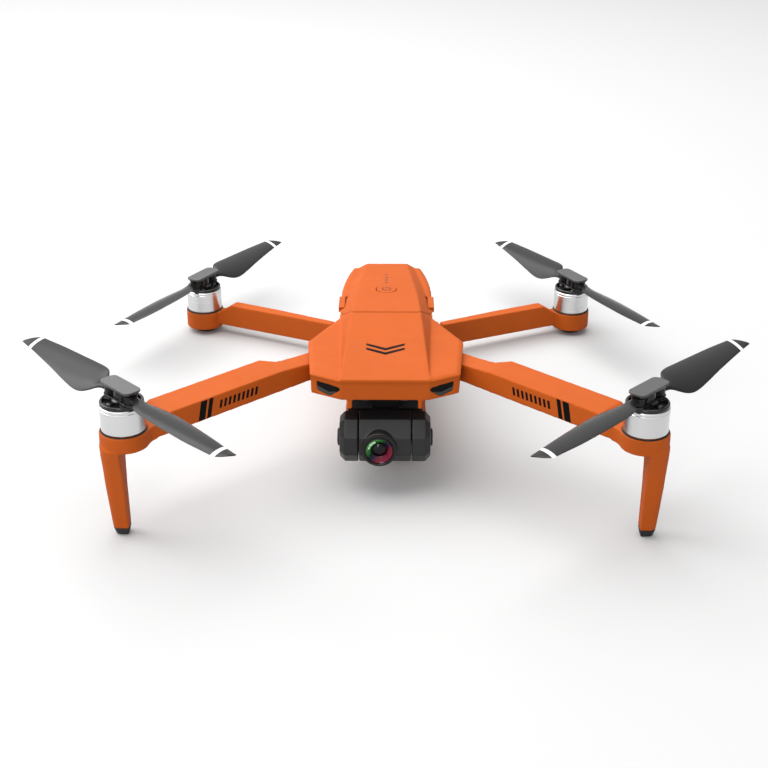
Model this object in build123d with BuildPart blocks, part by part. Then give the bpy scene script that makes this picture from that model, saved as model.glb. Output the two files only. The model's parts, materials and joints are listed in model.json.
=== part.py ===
"""Folding camera quadcopter: orange shell, four folding arms, folding propellers, nose gimbal.

Millimetres, +Z up, nose towards -Y. The origin is on the ground under the middle of the open drone.
Left is -X. Each left sub-part is modelled in place and mirrored across the YZ plane for the right.
"""

import os
from math import cos, radians, sin, tan

from build123d import *

# ---- driving dimensions ------------------------------------------------------------------------
BELL_RADIUS = 9.75
FRONT_POD_RADIUS = 10.8
REAR_POD_RADIUS = 10.5
FRONT_BLADE_RADIUS = 77.0
REAR_BLADE_RADIUS = 76.0
WALL = 1.6
RUN = 0.05
GAP = 0.35

FRONT_MOTOR = (-112.0, -120.1)
REAR_MOTOR = (-106.0, 109.1)
FRONT_SEAT_Z = 51.3
REAR_SEAT_Z = 12.9
FRONT_ARM_ANGLE = 43.0
REAR_ARM_ANGLE = -24.77
FRONT_BLADE_ANGLE = 133.5
REAR_BLADE_ANGLE = 59.5
BLADE_PIN_OFFSET = 7.0

FRONT_PIVOT = (-32.2, -47.3)
REAR_PIVOT = (-24.2, 71.6)
FRONT_PIN_RADIUS = 2.0
REAR_PIN_RADIUS = 1.8
FRONT_KNUCKLE_RADIUS = 5.2
REAR_KNUCKLE_RADIUS = 4.8

FRONT_ARM_BOTTOM = 45.0
FRONT_ARM_TOP = 55.0
REAR_ARM_BOTTOM = 5.0
REAR_ARM_TOP = 18.0
REAR_POD_BOTTOM = 3.0
FRONT_POD_BOTTOM = 44.0

HULL_HALF_WIDTH = 19.5
HULL_BOTTOM = 4.0
HULL_FRONT = -45.5
HULL_REAR = 76.0
HULL_WALL_TOP = 55.0
BAY_WIDTH = 35.4
EAR_RADIUS = 4.8
SCREW_RADIUS = 1.6
SENSOR_Y = -12.0
SENSOR_RADIUS = 6.0
TAIL_LIGHT_Z = 17.0
TAIL_LIGHT_WIDTH = 15.0
TAIL_LIGHT_HEIGHT = 4.6
CONNECTOR_Z = 34.0
TRAY_Z = 27.0
SHELF_Z = 43.0
SHELF_TOP = 44.6
SHELF_FRONT = -68.0
SKIRT_BOTTOM = 46.4
SKIRT_INSET = 0.6

RIM_Z = 55.4
WING_Z = 57.0
NOSE_Y = -82.5
CORNER = (34.5, -74.9)
SHOULDER = (37.3, -38.0)
REAR_HALF_WIDTH = 23.2
TAIL_HALF_WIDTH = 17.8
WAIST_Y = -9.0
FLANK_Y = 20.0
SEAM_Y = -18.5
SEAM_SIDE_Y = -1.5
TAIL_Y = 60.5
PEAK_Z = 63.7
RIDGE_Y = 12.0
RIDGE_Z = 62.4
TAIL_Z = 58.9

GIMBAL_Y = -75.0
GIMBAL_Z = 24.8
BARREL_ACROSS = 21.8
BARREL_HALF = 12.0
GIMBAL_HALF = 21.0
LENS_X = -2.6
LENS_Z = 24.2
LENS_BACK_Y = -81.6
LENS_RING_RADIUS = 6.9
LENS_RADIUS = 5.6


def across(y):
    """Upright sketch plane at this Y, with local x along +X and local y along +Z."""
    return Plane.XZ.offset(-y)


def lengthwise(x):
    """Upright sketch plane at this X, with local x along +Y and local y along +Z."""
    return Plane.YZ.offset(x)


def level(z):
    return Plane.XY.offset(z)


# ---- body shells -------------------------------------------------------------------------------
def nose_corner(inset):
    return (20.5 - inset * 0.6, NOSE_Y + inset)


def side_corner(inset):
    return (CORNER[0] - inset, CORNER[1] + inset)


def rim_outline(inset=0.0):
    """Plan outline of the top shells: nose, corners, shoulders, waist and rounded tail."""
    nose = nose_corner(inset)
    corner = side_corner(inset)
    shoulder = (SHOULDER[0] - inset, SHOULDER[1] - inset * 0.3)
    waist = (REAR_HALF_WIDTH - inset, WAIST_Y - inset * 0.3)
    flank = (REAR_HALF_WIDTH - inset, FLANK_Y)
    tail = (TAIL_HALF_WIDTH - inset, TAIL_Y - inset)
    with BuildLine() as outline:
        Polyline((0, nose[1]), nose, corner, shoulder, waist, flank)
        TangentArc(flank, tail, tangent=(0, 1))
        Line(tail, (0, tail[1]))
        mirror(about=Plane.YZ)
    return outline.line


def hump_section(y, half_top, z_top, half_foot, z_foot):
    with BuildSketch(across(y)) as section:
        with BuildLine():
            Polyline((-half_foot, z_foot), (-half_top, z_top), (half_top, z_top), (half_foot, z_foot), close=True)
        make_face()
    return section.sketch


def hump(inset=0.0):
    """The raised centre of the top shells: a ridge that climbs from the nose to the seam and falls to the tail."""
    foot_z = RIM_Z if inset == 0.0 else RIM_Z - 0.4
    nose = hump_section(NOSE_Y + inset, 20.5 - inset, WING_Z - inset, 21.0 - inset, foot_z)
    peak = hump_section(SEAM_Y, 17.0 - inset, PEAK_Z - inset, 23.2 - inset, foot_z)
    middle = hump_section(RIDGE_Y, 15.2 - inset, RIDGE_Z - inset, 23.0 - inset, foot_z)
    tail = hump_section(TAIL_Y - inset, 10.6 - inset, TAIL_Z - inset, 17.0 - inset, foot_z)
    with BuildPart() as ridge:
        loft([nose, peak], ruled=True)
        loft([peak, middle, tail], ruled=True)
    return ridge.part


def top_form():
    """The shells above the rim: flat wings with a bevelled edge, and the hollow hump."""
    with BuildPart() as form:
        with BuildSketch(level(RIM_Z)):
            add(rim_outline())
            make_face()
        extrude(amount=WING_Z - RIM_Z)
        chamfer(form.faces().sort_by(Axis.Z)[-1].edges(), length=0.9, length2=2.0)
        add(hump())
        add(hump(WALL), mode=Mode.SUBTRACT)
    return form.part


def behind_seam(gap=0.0):
    """A block covering everything behind the seam, which sweeps back at the sides."""
    half = 60.0
    with BuildPart() as block:
        with BuildSketch(level(0)):
            with BuildLine():
                Polyline((-half, 120), (-half, SEAM_SIDE_Y + gap), (-REAR_HALF_WIDTH, SEAM_SIDE_Y + gap),
                         (-16.5, SEAM_Y + gap), (16.5, SEAM_Y + gap), (REAR_HALF_WIDTH, SEAM_SIDE_Y + gap),
                         (half, SEAM_SIDE_Y + gap), (half, 120), close=True)
            make_face()
        extrude(amount=90)
    return block.part


def window_sketch(depth):
    """The right-hand nose window, drawn on the slanting front wall and set in from it by this depth."""
    start = Vector(*nose_corner(SKIRT_INSET), 0)
    along = (Vector(*side_corner(SKIRT_INSET), 0) - start).normalized()
    outward = Vector(along.Y, -along.X, 0)
    wall = Plane(origin=start - outward * depth, x_dir=along, z_dir=outward)
    with BuildSketch(wall) as sketch:
        with BuildLine():
            Polyline((0.5, 51.2), (0.9, 52.4), (13.0, 53.2), (12.4, 48.8), (7.4, 47.4), (5.6, 47.4), close=True)
        make_face()
    return sketch.sketch


def upper_canopy():
    with BuildPart() as canopy:
        add(top_form())
        # front skirt
        with BuildSketch(level(SKIRT_BOTTOM)):
            add(rim_outline(SKIRT_INSET))
            make_face()
        extrude(amount=RIM_Z - SKIRT_BOTTOM)
        with BuildSketch(level(SHELF_TOP)):
            add(rim_outline(WALL + SKIRT_INSET))
            make_face()
        extrude(amount=RIM_Z - SHELF_TOP + 0.05, mode=Mode.SUBTRACT)
        # the arms leave through open sides behind this line
        with BuildSketch(level(SHELF_TOP - 1)):
            with BuildLine():
                Polyline((-60, 90), (-60, -81.4), (-33.0, -56.2), (33.0, -56.2), (60, -81.4), (60, 90), close=True)
            make_face()
        extrude(amount=RIM_Z - SHELF_TOP + 1, mode=Mode.SUBTRACT)
        # window pockets
        pocket = extrude(window_sketch(-0.5), amount=-3.0, mode=Mode.PRIVATE)
        add(pocket, mode=Mode.SUBTRACT)
        add(mirror(pocket, about=Plane.YZ, mode=Mode.PRIVATE), mode=Mode.SUBTRACT)
        # cheeks beside the gimbal
        with Locations((16.0, NOSE_Y + 1.6, 44.8), (-16.0, NOSE_Y + 1.6, 44.8)):
            Box(2.0, 1.8, 5.6)
        add(behind_seam(), mode=Mode.SUBTRACT)
        # bosses over the front hinges, with blind holes for their pins
        with BuildSketch(level(SHELF_TOP + 9.5)):
            with Locations(FRONT_PIVOT, (-FRONT_PIVOT[0], FRONT_PIVOT[1])):
                Circle(4.0)
        extrude(amount=1.4)
        with BuildSketch(level(SHELF_TOP)):
            with Locations(FRONT_PIVOT, (-FRONT_PIVOT[0], FRONT_PIVOT[1])):
                Circle(FRONT_PIN_RADIUS)
        extrude(amount=11.4, mode=Mode.SUBTRACT)
    return canopy.part


def nose_window():
    """Dark glossy window, set into the front wall's left-hand side."""
    with BuildPart() as right:
        extrude(window_sketch(0.3), amount=-1.2)
    with BuildPart() as left:
        mirror(right.part, about=Plane.YZ)
    return left.part


def above_tray(edge):
    return edge.center().Z > TRAY_Z


def lower_hull():
    with BuildPart() as hull:
        with BuildSketch(level(HULL_BOTTOM)):
            with Locations((0, (HULL_FRONT + HULL_REAR) / 2)):
                RectangleRounded(2 * HULL_HALF_WIDTH, HULL_REAR - HULL_FRONT, 6)
        extrude(amount=TRAY_Z - HULL_BOTTOM)
        chamfer(hull.faces().sort_by(Axis.Z)[0].edges(), length=2.0)
        chamfer(hull.faces().sort_by(Axis.Z)[-1].edges().sort_by(Axis.Y)[-1], length=6.0)
        with BuildSketch(level(TRAY_Z)):
            with Locations((0, (HULL_FRONT + TAIL_Y - 3) / 2)):
                Rectangle(2 * HULL_HALF_WIDTH, TAIL_Y - 3 - HULL_FRONT)
        extrude(amount=HULL_WALL_TOP - TRAY_Z)
        fillet(hull.edges().filter_by(Axis.Z).filter_by(above_tray), radius=5)
        # shelf under the nose that carries the front hinges
        with BuildSketch(level(SHELF_Z)):
            add(rim_outline(3.4))
            make_face()
            with Locations((0, 30)):
                Rectangle(100, 132, mode=Mode.SUBTRACT)
            with Locations((0, SHELF_FRONT)):
                Rectangle(100, 40, align=(Align.CENTER, Align.MAX), mode=Mode.SUBTRACT)
            with Locations(FRONT_PIVOT, (-FRONT_PIVOT[0], FRONT_PIVOT[1])):
                Circle(EAR_RADIUS)
        extrude(amount=SHELF_TOP - SHELF_Z)
        # nose well for the gimbal
        with Locations((0, HULL_FRONT - 0.5, (SHELF_Z + SHELF_TOP) / 2)):
            Box(49.2, 80, 8, align=(Align.CENTER, Align.MAX, Align.CENTER), mode=Mode.SUBTRACT)
        # electronics bay, below the battery tray
        with Locations((0, HULL_FRONT + 1.8, HULL_BOTTOM + 2.0)):
            Box(34.6, 115, 19.2, align=(Align.CENTER, Align.MIN, Align.MIN), mode=Mode.SUBTRACT)
        # battery bay, open at the top and at the tail
        with Locations((0, SEAM_Y + 1.0, TRAY_Z)):
            Box(BAY_WIDTH, 90, 40, align=(Align.CENTER, Align.MIN, Align.MIN), mode=Mode.SUBTRACT)
        # avionics bay in front of the battery
        with Locations((0, HULL_FRONT + 1.8, SHELF_TOP)):
            Box(BAY_WIDTH, 24, 20, align=(Align.CENTER, Align.MIN, Align.MIN), mode=Mode.SUBTRACT)
        # ears for the rear hinges
        for low, high in ((HULL_BOTTOM, 6.35), (16.65, 19.5)):
            with BuildSketch(level(low)):
                for side in (-1, 1):
                    with Locations((side * -REAR_PIVOT[0], REAR_PIVOT[1])):
                        Circle(EAR_RADIUS)
                    with Locations((side * 18, REAR_PIVOT[1])):
                        Rectangle(12.4, 2 * EAR_RADIUS)
            extrude(amount=high - low)
        with Locations(*[(side * REAR_PIVOT[0], REAR_PIVOT[1], 11.5) for side in (-1, 1)]):
            Cylinder(5.6, 10.3, mode=Mode.SUBTRACT)
            Cylinder(REAR_PIN_RADIUS, 40, mode=Mode.SUBTRACT)
        with Locations(*[(side * FRONT_PIVOT[0], FRONT_PIVOT[1], SHELF_Z) for side in (-1, 1)]):
            Cylinder(FRONT_PIN_RADIUS, 12, mode=Mode.SUBTRACT)
        # screw holes and the sensor opening in the floor, and the tail light opening
        with Locations(*screw_places()):
            Cylinder(SCREW_RADIUS, 8, mode=Mode.SUBTRACT)
        with Locations((0, SENSOR_Y, HULL_BOTTOM)):
            Cylinder(SENSOR_RADIUS, 8, mode=Mode.SUBTRACT)
        with BuildSketch(across(HULL_REAR + 1)):
            with Locations((0, TAIL_LIGHT_Z)):
                SlotOverall(TAIL_LIGHT_WIDTH, TAIL_LIGHT_HEIGHT)
        extrude(amount=8, mode=Mode.SUBTRACT)
    return hull.part


def screw_places():
    return [(side * 13, y, HULL_BOTTOM + 1.0) for side in (-1, 1) for y in (-38, 62)]


def hull_screws():
    with BuildPart() as screws:
        with Locations(*screw_places()):
            Cylinder(SCREW_RADIUS, 1.6)
        with Locations(*[(x, y, z + 0.4) for x, y, z in screw_places()]):
            Cylinder(0.7, 1.0, mode=Mode.SUBTRACT)
    return screws.part


def arm_hinge_pins():
    with BuildPart() as pins:
        with Locations(*[(side * FRONT_PIVOT[0], FRONT_PIVOT[1], SHELF_Z + 0.4) for side in (-1, 1)]):
            Cylinder(FRONT_PIN_RADIUS, RIM_Z - SHELF_Z - 0.4, align=(Align.CENTER, Align.CENTER, Align.MIN))
        with Locations(*[(side * REAR_PIVOT[0], REAR_PIVOT[1], HULL_BOTTOM + 0.4) for side in (-1, 1)]):
            Cylinder(REAR_PIN_RADIUS, 14.6, align=(Align.CENTER, Align.CENTER, Align.MIN))
    return pins.part


def main_board():
    with BuildPart() as board:
        with Locations((0, 8, 10)):
            Box(30, 84, 1.6)
        with Locations(*[(0, y, 12.3) for y in (-22, 4, 30)]):
            Box(14, 14, 3.0)
        with Locations(*[(x, y, 7.6) for x in (-13, 13) for y in (-30, 46)]):
            Cylinder(1.5, 3.2)
    return board.part


def gps_module():
    with BuildPart() as module:
        with Locations((0, -32.0, SHELF_TOP)):
            Box(22, 18, 1.6, align=(Align.CENTER, Align.CENTER, Align.MIN))
            Box(18, 15, 6.4, align=(Align.CENTER, Align.CENTER, Align.MIN))
    return module.part


def flow_sensor():
    with BuildPart() as sensor:
        with Locations((0, SENSOR_Y, HULL_BOTTOM + 0.4)):
            Cylinder(SENSOR_RADIUS, 4.8, align=(Align.CENTER, Align.CENTER, Align.MIN))
            Cylinder(3.4, 0.8, align=(Align.CENTER, Align.CENTER, Align.MIN), mode=Mode.SUBTRACT)
    return sensor.part


def tail_light_lens():
    with BuildPart() as lens:
        with BuildSketch(across(HULL_REAR + 0.3)):
            with Locations((0, TAIL_LIGHT_Z)):
                SlotOverall(TAIL_LIGHT_WIDTH, TAIL_LIGHT_HEIGHT)
        extrude(amount=-2.2)
        chamfer(lens.faces().sort_by(Axis.Y)[-1].edges(), length=0.4)
    return lens.part


def battery_connector():
    with BuildPart() as connector:
        with Locations((0, SEAM_Y + 1.0, CONNECTOR_Z)):
            Box(12, 2.6, 4, align=(Align.CENTER, Align.MIN, Align.CENTER))
    return connector.part


# ---- battery pack ------------------------------------------------------------------------------
BATTERY_FRONT = SEAM_Y + 1.0 + GAP
BUTTON_AT = (0.0, 15.2)
BUTTON_RADIUS = 5.0
BUTTON_Z = 60.6
RELEASE_Y = 10.0
RELEASE_LENGTH = 15.0
RELEASE_Z = 56.4
LED_RADIUS = 0.7
CELL_WIDTH = BAY_WIDTH - 2 * GAP - 2 * WALL - 0.1
CELL_HEIGHT = 10.6


def lid_height(y):
    """Height of the lid's flat ridge between its two rear sections."""
    return RIDGE_Z + (TAIL_Z - RIDGE_Z) * (y - RIDGE_Y) / (TAIL_Y - RIDGE_Y)


def led_places():
    return [(0.0, y, lid_height(y)) for y in (26.5, 31.0, 35.5, 40.0)]


def battery_case():
    with BuildPart() as case:
        with Locations((0, BATTERY_FRONT, TRAY_Z + GAP)):
            Box(BAY_WIDTH - 2 * GAP, TAIL_Y - 3 - BATTERY_FRONT, RIM_Z - TRAY_Z - GAP,
                align=(Align.CENTER, Align.MIN, Align.MIN))
        fillet(case.edges().filter_by(Axis.Z), radius=1.5)
        with Locations((0, BATTERY_FRONT + WALL, TRAY_Z + GAP + WALL)):
            Box(CELL_WIDTH, TAIL_Y - 3 - BATTERY_FRONT - 2 * WALL, 40, align=(Align.CENTER, Align.MIN, Align.MIN),
                mode=Mode.SUBTRACT)
        with Locations((0, BATTERY_FRONT, CONNECTOR_Z)):
            Box(12.8, 6, 4.8, mode=Mode.SUBTRACT)
    return case.part


def battery_cells():
    with BuildPart() as cells:
        with Locations((0, 20.5, TRAY_Z + GAP + WALL)):
            Box(CELL_WIDTH, 66, CELL_HEIGHT, align=(Align.CENTER, Align.CENTER, Align.MIN))
        with Locations((0, 20.5, TRAY_Z + GAP + WALL + 11.0)):
            Box(CELL_WIDTH, 66, CELL_HEIGHT, align=(Align.CENTER, Align.CENTER, Align.MIN))
        fillet(cells.edges().filter_by(Axis.Y), radius=2)
    return cells.part


def battery_lid():
    with BuildPart() as lid:
        add(top_form())
        add(behind_seam(0.4), mode=Mode.INTERSECT)
        # tail wall and the well of the power button
        with BuildSketch(across(TAIL_Y)):
            with BuildLine():
                Polyline((-16.4, RIM_Z), (-10.2, TAIL_Z - 0.2), (10.2, TAIL_Z - 0.2), (16.4, RIM_Z), close=True)
            make_face()
        extrude(amount=WALL)
        with Locations((*BUTTON_AT, BUTTON_Z - 2.2)):
            Cylinder(BUTTON_RADIUS + 2.0, 3.0, align=(Align.CENTER, Align.CENTER, Align.MIN))
        with Locations((*BUTTON_AT, BUTTON_Z - 1.2)):
            Cylinder(BUTTON_RADIUS + GAP, 5.0, align=(Align.CENTER, Align.CENTER, Align.MIN), mode=Mode.SUBTRACT)
        with Locations(*led_places()):
            Cylinder(LED_RADIUS, 6, mode=Mode.SUBTRACT)
        # slots of the release buttons
        with Locations((21.7, RELEASE_Y, RELEASE_Z), (-21.7, RELEASE_Y, RELEASE_Z)):
            Box(5.0, RELEASE_LENGTH + 2 * GAP, 2.4, mode=Mode.SUBTRACT)
    return lid.part


def battery_leds():
    with BuildPart() as leds:
        with Locations(*led_places()):
            Cylinder(LED_RADIUS, 1.5, align=(Align.CENTER, Align.CENTER, Align.MAX))
    return leds.part


def power_button():
    with BuildPart() as button:
        with Locations((*BUTTON_AT, BUTTON_Z)):
            Cylinder(BUTTON_RADIUS, 1.7, align=(Align.CENTER, Align.CENTER, Align.MIN))
        fillet(button.faces().sort_by(Axis.Z)[-1].edges(), radius=0.4)
    return button.part


def release_button():
    """Left-hand battery latch: a ribbed slider in the edge of the lid, standing a little proud of it."""
    with BuildPart() as button:
        with Locations((-20.8, RELEASE_Y, RELEASE_Z)):
            Box(3.2, RELEASE_LENGTH, 1.6, align=(Align.MAX, Align.CENTER, Align.CENTER))
        chamfer(button.faces().sort_by(Axis.X)[0].edges(), length=0.4)
        with Locations(*[(-24.0, RELEASE_Y + step, RELEASE_Z) for step in (-5, -2.5, 0, 2.5, 5)]):
            Box(0.8, 0.9, 2, mode=Mode.SUBTRACT)
    return button.part


# ---- gimbal ------------------------------------------------------------------------------------
PLATE_Z = 47.6
ROLL_FRONT = -58.8
ROLL_BACK = -52.2
BRIDGE_Y = -59.4
BRIDGE_Z = GIMBAL_Z + 1.5
BRIDGE_HEIGHT = 11.0
GIMBAL_PIN_RADIUS = 1.5
DAMPER_RADIUS = 2.4
BOARD_Y = GIMBAL_Y + 6.5


def octagon(plane_x, amount):
    with BuildPart() as block:
        with BuildSketch(lengthwise(plane_x)):
            with Locations((GIMBAL_Y, GIMBAL_Z)):
                RegularPolygon(BARREL_ACROSS / 2, 8, major_radius=False, rotation=22.5)
        extrude(amount=amount)
    return block.part


def damper_places():
    return [(side * 27.2, y, SHELF_TOP) for side in (-1, 1) for y in (-65.0, -57.5)]


def gimbal_mount_plate():
    with BuildPart() as plate:
        with BuildSketch(level(PLATE_Z)):
            with Locations((0, -61.2)):
                RectangleRounded(60, 13.2, 4)
            with Locations((0, -67)):
                RectangleRounded(26, 25, 2)
        extrude(amount=1.4)
    return plate.part


def gimbal_dampers():
    with BuildPart() as dampers:
        with Locations(*damper_places()):
            Cylinder(DAMPER_RADIUS, PLATE_Z - SHELF_TOP, align=(Align.CENTER, Align.CENTER, Align.MIN))
        with Locations((9, -76.2, PLATE_Z), (-9, -76.2, PLATE_Z)):
            Cylinder(DAMPER_RADIUS, 3.0, align=(Align.CENTER, Align.CENTER, Align.MAX))
    return dampers.part


def gimbal_base():
    """Hanger and roll motor case, fixed under the mount plate."""
    with BuildPart() as base:
        with BuildSketch(across(ROLL_BACK)):
            with Locations((0, GIMBAL_Z)):
                Circle(8.5)
            with Locations((0, (GIMBAL_Z + PLATE_Z) / 2)):
                Rectangle(13, PLATE_Z - GIMBAL_Z)
        extrude(amount=ROLL_BACK - ROLL_FRONT)
        with BuildSketch(across(ROLL_BACK + 1)):
            with Locations((0, GIMBAL_Z)):
                Circle(GIMBAL_PIN_RADIUS + RUN)
        extrude(amount=12, mode=Mode.SUBTRACT)
    return base.part


def gimbal_yoke():
    """Roll frame: back bridge, roll shaft and the two side housings."""
    with BuildPart() as yoke:
        for side in (-1, 1):
            add(octagon(side * (BARREL_HALF + 0.4), side * (GIMBAL_HALF - BARREL_HALF - 0.4)))
        chamfer(yoke.faces().filter_by(Axis.X).group_by(Axis.X)[0].edges(), length=2.4)
        chamfer(yoke.faces().filter_by(Axis.X).group_by(Axis.X)[-1].edges(), length=2.4)
        with Locations((0, BRIDGE_Y, BRIDGE_Z)):
            Box(36, 3.0, BRIDGE_HEIGHT, align=(Align.CENTER, Align.MAX, Align.CENTER))
        for side in (-1, 1):
            with Locations((side * 15.2, BRIDGE_Y, BRIDGE_Z)):
                Box(5.6, 8.0, BRIDGE_HEIGHT, align=(Align.CENTER, Align.MAX, Align.CENTER))
            with BuildSketch(lengthwise(side * 10)):
                with Locations((GIMBAL_Y, GIMBAL_Z)):
                    Circle(GIMBAL_PIN_RADIUS + RUN)
            extrude(amount=side * 7.6, mode=Mode.SUBTRACT)
        with BuildSketch(across(BRIDGE_Y - 0.4)):
            with Locations((0, GIMBAL_Z)):
                Circle(GIMBAL_PIN_RADIUS)
        extrude(amount=-6.0)
    return yoke.part


def gimbal_caps():
    """Round pivot covers on the outer faces of the side housings."""
    with BuildPart() as caps:
        for side in (-1, 1):
            with BuildSketch(lengthwise(side * GIMBAL_HALF)):
                with Locations((GIMBAL_Y, GIMBAL_Z - 0.4)):
                    Circle(4.2)
            extrude(amount=side * 1.1)
        chamfer(caps.faces().filter_by(Axis.X).group_by(Axis.X)[0].edges(), length=0.5)
        chamfer(caps.faces().filter_by(Axis.X).group_by(Axis.X)[-1].edges(), length=0.5)
    return caps.part


def camera_barrel():
    with BuildPart() as barrel:
        add(octagon(-BARREL_HALF, 2 * BARREL_HALF))
        for side in (-1, 1):
            with BuildSketch(lengthwise(side * (BARREL_HALF - 1))):
                with Locations((GIMBAL_Y, GIMBAL_Z)):
                    Circle(GIMBAL_PIN_RADIUS)
            extrude(amount=side * 6)
        with BuildSketch(across(LENS_BACK_Y)):
            with Locations((LENS_X, LENS_Z)):
                Circle(LENS_RING_RADIUS + 1.1)
        extrude(amount=6.0)
        chamfer(barrel.faces().sort_by(Axis.Y)[0].edges(), length=0.7)
        with BuildSketch(across(LENS_BACK_Y)):
            with Locations((LENS_X, LENS_Z)):
                Circle(LENS_RING_RADIUS)
        extrude(amount=8, mode=Mode.SUBTRACT)
        with Locations((0, GIMBAL_Y + 0.6, GIMBAL_Z + 0.6)):
            Box(18, 11.8, 12, mode=Mode.SUBTRACT)
    return barrel.part


def lens_ring():
    with BuildPart() as ring:
        with BuildSketch(across(LENS_BACK_Y)):
            with Locations((LENS_X, LENS_Z)):
                Circle(LENS_RING_RADIUS)
                Circle(LENS_RADIUS, mode=Mode.SUBTRACT)
        extrude(amount=8.2)
        chamfer(ring.faces().sort_by(Axis.Y)[0].edges().sort_by(SortBy.LENGTH)[0], length=1.0)
    return ring.part


def lens_glass():
    with BuildPart() as glass:
        with BuildSketch(across(LENS_BACK_Y)):
            with Locations((LENS_X, LENS_Z)):
                Circle(LENS_RADIUS)
        extrude(amount=7.0)
        fillet(glass.faces().sort_by(Axis.Y)[0].edges(), radius=1.6)
    return glass.part


def camera_board():
    with BuildPart() as board:
        with Locations((0, BOARD_Y, GIMBAL_Z + 0.6)):
            Box(16, 1.4, 11.9, align=(Align.CENTER, Align.MAX, Align.CENTER))
    return board.part


# ---- arms --------------------------------------------------------------------------------------
def arm_plane(motor, angle, z):
    """Level plane at a motor: local x runs along the arm towards the body, local y to its left."""
    u = Vector(cos(radians(angle)), sin(radians(angle)), 0)
    return Plane(origin=(motor[0], motor[1], z), x_dir=u, z_dir=(0, 0, 1))


def in_arm(motor, angle, point):
    """A body-frame point given in the arm's own plan coordinates."""
    local = arm_plane(motor, angle, 0).to_local_coords(Vector(point[0], point[1], 0))
    return (local.X, local.Y)


# height, outer side, inner side, front, back and outer corner radius, from the motor's axis
LEG_STATIONS = (
    (45.4, -10.7, -1.0, -9.2, 4.0, 6.4),
    (24.0, -9.6, -0.9, -6.2, 3.0, 4.4),
    (3.4, -8.0, -0.6, -3.8, 2.8, 3.0),
)
FOOT_STATION = (0.0, -6.9, -1.2, -2.8, 2.2, 2.2)


def leg_section(z, outer, inner, front, back, corner):
    """Level section of the left landing leg: rounded on the outside, flat towards the body."""
    with BuildSketch(level(z)) as section:
        with Locations((FRONT_MOTOR[0] + (outer + inner) / 2, FRONT_MOTOR[1] + (front + back) / 2)):
            Rectangle(inner - outer, back - front)
        outside = section.vertices().group_by(Axis.X)[0]
        inside = section.vertices().group_by(Axis.X)[-1]
        fillet(outside, radius=corner)
        fillet(inside, radius=1.2)
    return section.sketch


def front_arm():
    def flat(z):
        return arm_plane(FRONT_MOTOR, FRONT_ARM_ANGLE, z)

    pivot = in_arm(FRONT_MOTOR, FRONT_ARM_ANGLE, FRONT_PIVOT)
    root = pivot[0] - 8.0
    with BuildPart() as arm:
        with BuildSketch(flat(FRONT_ARM_BOTTOM)):
            with BuildLine():
                Polyline((0, -6.8), (root, -6.8), (pivot[0], pivot[1] - 5.0), (pivot[0], pivot[1] + 5.0),
                         (root, 4.4), (87.5, 4.4), (82.0, 10.3), (0, 10.3), close=True)
            make_face()
            with Locations(pivot):
                Circle(FRONT_KNUCKLE_RADIUS)
        extrude(amount=FRONT_ARM_TOP - FRONT_ARM_BOTTOM)
        # the top drops towards the root, and towards the motor seat
        with BuildSketch(Plane(flat(0).origin, x_dir=flat(0).x_dir, z_dir=-flat(0).y_dir)):
            with BuildLine():
                Polyline((82, 60), (82, FRONT_ARM_TOP), (root, 53.6), (130, 53.6), (130, 60), close=True)
            make_face()
            with BuildLine():
                Polyline((-12, 60), (-12, FRONT_SEAT_Z), (12.0, FRONT_SEAT_Z), (20, FRONT_ARM_TOP), (20, 60), close=True)
            make_face()
        extrude(amount=30, both=True, mode=Mode.SUBTRACT)
        with BuildSketch(flat(FRONT_POD_BOTTOM)):
            Circle(FRONT_POD_RADIUS)
        extrude(amount=FRONT_SEAT_Z - FRONT_POD_BOTTOM)
        loft([leg_section(*station) for station in LEG_STATIONS], ruled=True)
        with Locations(flat(0)):
            with Locations((*pivot, FRONT_ARM_BOTTOM)):
                Cylinder(FRONT_PIN_RADIUS + RUN, 40, mode=Mode.SUBTRACT)
    return arm.part


def front_foot():
    with BuildPart() as foot:
        loft([leg_section(*FOOT_STATION), leg_section(*LEG_STATIONS[-1])], ruled=True)
    return foot.part


def rear_arm():
    def flat(z):
        return arm_plane(REAR_MOTOR, REAR_ARM_ANGLE, z)

    pivot = in_arm(REAR_MOTOR, REAR_ARM_ANGLE, REAR_PIVOT)
    with BuildPart() as arm:
        with BuildSketch(flat(REAR_ARM_BOTTOM)):
            with BuildLine():
                Polyline((0, -2.0), (pivot[0], -2.0), (pivot[0], 2.6), (46, 4.6), (0, 5.2), close=True)
            make_face()
        extrude(amount=REAR_ARM_TOP - REAR_ARM_BOTTOM)
        # knuckle, lower than the arm so that it turns between the hull's ears
        with BuildSketch(flat(0)):
            with Locations(pivot):
                Rectangle(13.6, 30)
        extrude(amount=40, mode=Mode.SUBTRACT)
        with BuildSketch(flat(6.7)):
            with Locations(pivot):
                Circle(REAR_KNUCKLE_RADIUS)
            with BuildLine():
                Polyline((pivot[0] - 8, -2.0), (pivot[0], pivot[1] - 3.0), (pivot[0], pivot[1] + 3.0),
                         (pivot[0] - 8, 2.7), close=True)
            make_face()
        extrude(amount=9.6)
        with BuildSketch(Plane(flat(0).origin, x_dir=flat(0).x_dir, z_dir=-flat(0).y_dir)):
            with BuildLine():
                Polyline((-12, 30), (-12, REAR_SEAT_Z), (11.4, REAR_SEAT_Z), (19, REAR_ARM_TOP), (19, 30), close=True)
            make_face()
        extrude(amount=30, both=True, mode=Mode.SUBTRACT)
        with BuildSketch(flat(REAR_POD_BOTTOM)):
            Circle(REAR_POD_RADIUS)
        extrude(amount=REAR_SEAT_Z - REAR_POD_BOTTOM)
        with Locations(flat(0)):
            with Locations((*pivot, 10)):
                Cylinder(REAR_PIN_RADIUS + RUN, 40, mode=Mode.SUBTRACT)
    return arm.part


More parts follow.
